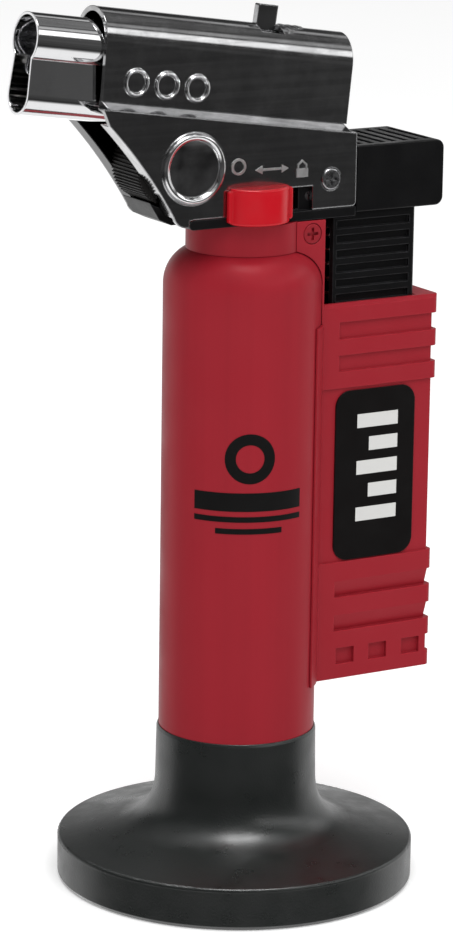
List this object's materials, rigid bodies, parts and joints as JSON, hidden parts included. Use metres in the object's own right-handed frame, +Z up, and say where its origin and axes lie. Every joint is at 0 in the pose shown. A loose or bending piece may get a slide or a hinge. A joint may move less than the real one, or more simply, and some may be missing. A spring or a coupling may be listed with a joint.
{
  "type": "lampwork torch",
  "caption": "Table-top butane torch: red tank in a round stand, side grip with thumb igniter button, chrome tilted barrel head with keyhole nozzle and lock slider.",
  "frame": {"origin": "centre of the stand's underside, on the tank's axis", "axes": "+Z up along the tank, -X towards the nozzle, +X towards the grip, -Y the side with the lock slider and the label"},
  "size_m": [0.0836, 0.066, 0.1638],
  "materials": {
    "stand_black": "satin moulded black plastic",
    "pad_rubber": "matt",
    "tank_red": "satin red lacquer over drawn aluminium",
    "grip_red": "semi-gloss red moulded plastic",
    "screw_red": "painted over",
    "head_chrome": "bright chrome plate",
    "nozzle_chrome": "bright chrome plate",
    "steel": "plain steel",
    "spring_steel": "bright wire",
    "black_plastic": "fine textured black plastic",
    "wheel_black": "black moulded, knurled",
    "slider_red": "glossy bright red",
    "label_black": "printed film",
    "brass": "machined",
    "copper": "drawn tube",
    "seal_rubber": "matt",
    "ceramic_white": "glazed",
    "lead_plastic": "silicone-covered lead",
    "piezo_plastic": "moulded",
    "aluminium": "machined",
    "tube_plastic": "natural"
  },
  "bodies": {
    "stand": {"base_stand": "stand_black", "foot_pad": "pad_rubber"},
    "torch": {"fuel_tank": "tank_red", "tank_bottom_plug": "aluminium", "neck_collar": "tank_red", "neck_seal": "seal_rubber", "refill_valve_body": "brass", "refill_valve_spring": "spring_steel", "gas_valve_body": "brass", "gas_valve_spring": "spring_steel", "valve_seat": "seal_rubber", "dip_tube": "tube_plastic", "chassis": "black_plastic", "housing_left": "head_chrome", "housing_right": "head_chrome", "barrel_cover": "head_chrome", "housing_screws": "steel", "nozzle_guard": "nozzle_chrome", "burner_tube": "steel", "flame_holder": "steel", "burner_bracket": "steel", "gas_jet": "brass", "gas_tube": "copper", "electrode_insulator": "ceramic_white", "electrode": "steel", "ignition_lead": "lead_plastic", "adjuster_axle": "steel", "rocker_pin": "steel", "return_spring": "spring_steel", "piezo_body": "piezo_plastic", "grip_left": "grip_red", "grip_right": "grip_red", "grip_screws": "screw_red", "grip_label": "label_black"},
    "button": {"thumb_button": "black_plastic", "trigger_stem": "black_plastic", "piezo_plunger": "piezo_plastic"},
    "gas_stem": {"gas_valve_stem": "brass"},
    "rocker": {"valve_rocker": "steel"},
    "slider": {"lock_slider": "slider_red"},
    "air_control": {"air_sleeve": "steel", "air_lever": "head_chrome"},
    "flame_wheel": {"adjuster_wheel": "wheel_black"},
    "refill_stem": {"refill_valve_stem": "brass"}
  },
  "joints": [
    {"name": "torch_lift", "type": "slide", "parent": "stand", "child": "torch", "axis": [0, 0, 1], "range_m": [0, 0.021]},
    {"name": "button_press", "type": "slide", "parent": "torch", "child": "button", "axis": [0, 0, -1], "range_m": [0, 0.0075], "stiffness_N_per_m": 1500, "springref_m": -0.002, "deforming": ["return_spring"]},
    {"name": "rocker_tilt", "type": "hinge", "parent": "torch", "child": "rocker", "pos_m": [0.009, 0, 0.1284], "axis": [0, 1, 0], "range_deg": [0, 6.6]},
    {"name": "gas_stem_lift", "type": "slide", "parent": "torch", "child": "gas_stem", "axis": [0, 0, 1], "range_m": [0, 0.00105], "deforming": ["gas_valve_spring"]},
    {"name": "lock_slide", "type": "slide", "parent": "torch", "child": "slider", "axis": [1, 0, 0], "range_m": [0, 0.0036]},
    {"name": "air_lever_turn", "type": "hinge", "parent": "torch", "child": "air_control", "pos_m": [0.0191, 0, 0.1509], "axis": [-0.9895, 0, 0.1444], "range_deg": [-25, 25]},
    {"name": "flame_wheel_turn", "type": "hinge", "parent": "torch", "child": "flame_wheel", "pos_m": [-0.0183, 0, 0.1346], "axis": [0, 1, 0], "range_deg": [-120, 120]},
    {"name": "refill_stem_push", "type": "slide", "parent": "torch", "child": "refill_stem", "axis": [0, 0, 1], "range_m": [0, 0.002], "stiffness_N_per_m": 900, "springref_m": -0.001, "deforming": ["refill_valve_spring"]}
  ],
  "couplings": [
    {"joint": "rocker_tilt", "follows": "button_press", "rad_per_m": 14.646},
    {"joint": "gas_stem_lift", "follows": "button_press", "ratio": 0.1332}
  ]
}
